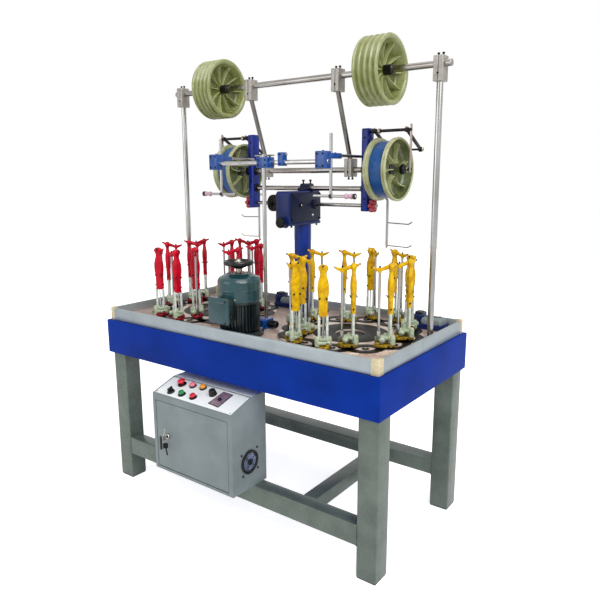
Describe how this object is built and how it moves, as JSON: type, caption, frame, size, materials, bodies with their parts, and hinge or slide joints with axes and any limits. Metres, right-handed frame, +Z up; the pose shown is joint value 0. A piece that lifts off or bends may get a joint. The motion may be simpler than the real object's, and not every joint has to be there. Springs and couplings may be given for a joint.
{
  "type": "wire braiding machine",
  "caption": "Two-head wire braiding machine on a steel bench, with bobbin carriers, a vertical motor, take-up wheels, guide pulleys and a control cabinet.",
  "frame": {"origin": "bottom centre of the whole machine's bounding box", "axes": "+X along the bench to the operator's right, +Y away from the operator, +Z up"},
  "size_m": [1.4, 0.8486, 1.89],
  "materials": {
    "frame_paint": "grey-green gloss paint on square steel tube",
    "blue_paint": "royal blue semi-gloss paint",
    "deck_steel": "machined plate with an oil film",
    "fence_aluminium": "satin anodised",
    "cream_plastic": "moulded",
    "carrier_red": "moulded nylon",
    "carrier_yellow": "moulded nylon",
    "motor_paint": "dark teal gloss enamel on a ribbed casting",
    "black_plastic": "moulded phenolic",
    "column_paint": "blue gloss enamel",
    "shaft_steel": "ground and polished",
    "clamp_aluminium": "die cast, bead blasted",
    "wheel_plastic": "cast pale green nylon",
    "knob_red": "moulded",
    "arm_black": "blackened steel",
    "cabinet_paint": "light grey powder coat",
    "button_red": "moulded",
    "button_green": "moulded"
  },
  "bodies": {
    "machine": {"leg_front_left": "frame_paint", "fence_corner_front_left": "cream_plastic", "leg_front_right": "frame_paint", "fence_corner_front_right": "cream_plastic", "front_stretcher": "frame_paint", "fence_front": "fence_aluminium", "leg_back_left": "frame_paint", "fence_corner_back_left": "cream_plastic", "leg_back_right": "frame_paint", "fence_corner_back_right": "cream_plastic", "back_stretcher": "frame_paint", "fence_back": "fence_aluminium", "cross_member": "frame_paint", "gear_bed": "blue_paint", "deck_plate": "deck_steel", "fence_left": "fence_aluminium", "side_plate_left": "blue_paint", "post_left": "shaft_steel", "strut_left": "clamp_aluminium", "wire_guide_left": "column_paint", "deck_bracket_left": "blue_paint", "hook_rod_left": "shaft_steel", "fence_right": "fence_aluminium", "side_plate_right": "blue_paint", "post_right": "shaft_steel", "strut_right": "clamp_aluminium", "wire_guide_right": "column_paint", "deck_bracket_right": "blue_paint", "hook_rod_right": "shaft_steel", "right_head": "carrier_yellow", "left_head": "carrier_red", "motor_body": "motor_paint", "fan_cover": "motor_paint", "terminal_box": "motor_paint", "column": "column_paint", "gearbox": "column_paint", "wheel_axle": "shaft_steel", "tie_bar": "shaft_steel", "top_bar": "shaft_steel", "front_rod": "shaft_steel", "centre_rod": "shaft_steel", "cabinet_body": "cabinet_paint", "cabinet_fan": "black_plastic"},
    "door": {"cabinet_door": "cabinet_paint"},
    "motor_rotor": {"motor_handwheel": "black_plastic"},
    "drive": {"drive_shaft": "shaft_steel", "knob_left": "knob_red", "knob_right": "knob_red"},
    "wheel_left": {"take_up_wheel_left": "wheel_plastic"},
    "wheel_right": {"take_up_wheel_right": "wheel_plastic"},
    "pulley_left": {"guide_pulley_left": "wheel_plastic"},
    "pulley_right": {"guide_pulley_right": "wheel_plastic"},
    "arm_left": {"press_arm_left": "arm_black"},
    "arm_right": {"press_arm_right": "arm_black"},
    "stop": {"stop_button": "button_red"},
    "start": {"start_button": "button_green"},
    "halt": {"halt_button": "button_red"},
    "selector": {"selector_switch": "black_plastic"},
    "speed": {"speed_knob": "black_plastic"}
  },
  "joints": [
    {"name": "door_hinge", "type": "hinge", "parent": "machine", "child": "door", "pos_m": [0.1252, -0.39425, 0.35865], "axis": [0, 0, 1], "range_deg": [0, 110]},
    {"name": "motor_turn", "type": "hinge", "parent": "machine", "child": "motor_rotor", "pos_m": [0, -0.17425, 1.055], "axis": [0, 0, 1], "continuous": true},
    {"name": "drive_turn", "type": "hinge", "parent": "machine", "child": "drive", "pos_m": [0, 0.27775, 1.263], "axis": [1, 0, 0], "continuous": true},
    {"name": "wheel_left_turn", "type": "hinge", "parent": "machine", "child": "wheel_left", "pos_m": [-0.40025, 0.27775, 1.407], "axis": [1, 0, 0], "continuous": true},
    {"name": "pulley_left_turn", "type": "hinge", "parent": "machine", "child": "pulley_left", "pos_m": [-0.412, 0.17675, 1.7643], "axis": [1, 0, 0], "continuous": true},
    {"name": "arm_left_hinge", "type": "hinge", "parent": "machine", "child": "arm_left", "pos_m": [-0.288, 0.27075, 1.556], "axis": [1, 0, 0], "range_deg": [0, 25], "stiffness_Nm_per_rad": 1.5, "springref_deg": -22.92},
    {"name": "wheel_right_turn", "type": "hinge", "parent": "machine", "child": "wheel_right", "pos_m": [0.40025, 0.27775, 1.407], "axis": [1, 0, 0], "continuous": true},
    {"name": "pulley_right_turn", "type": "hinge", "parent": "machine", "child": "pulley_right", "pos_m": [0.412, 0.17675, 1.7643], "axis": [1, 0, 0], "continuous": true},
    {"name": "arm_right_hinge", "type": "hinge", "parent": "machine", "child": "arm_right", "pos_m": [0.288, 0.27075, 1.556], "axis": [1, 0, 0], "range_deg": [0, 25], "stiffness_Nm_per_rad": 1.5, "springref_deg": -22.92},
    {"name": "start_press", "type": "slide", "parent": "machine", "child": "start", "axis": [0, 0.321, -0.9471], "range_m": [0, 0.003], "stiffness_N_per_m": 400, "springref_m": -0.001},
    {"name": "halt_press", "type": "slide", "parent": "machine", "child": "halt", "axis": [0, 0.321, -0.9471], "range_m": [0, 0.003], "stiffness_N_per_m": 400, "springref_m": -0.001},
    {"name": "stop_press", "type": "slide", "parent": "machine", "child": "stop", "axis": [0, 0.321, -0.9471], "range_m": [0, 0.003], "stiffness_N_per_m": 400, "springref_m": -0.001},
    {"name": "selector_turn", "type": "hinge", "parent": "machine", "child": "selector", "pos_m": [-0.207, -0.36489, 0.53795], "axis": [0, -0.321, 0.9471], "range_deg": [-45, 45]},
    {"name": "speed_turn", "type": "hinge", "parent": "machine", "child": "speed", "pos_m": [-0.017, -0.31849, 0.55368], "axis": [0, -0.321, 0.9471], "range_deg": [0, 270]}
  ]
}
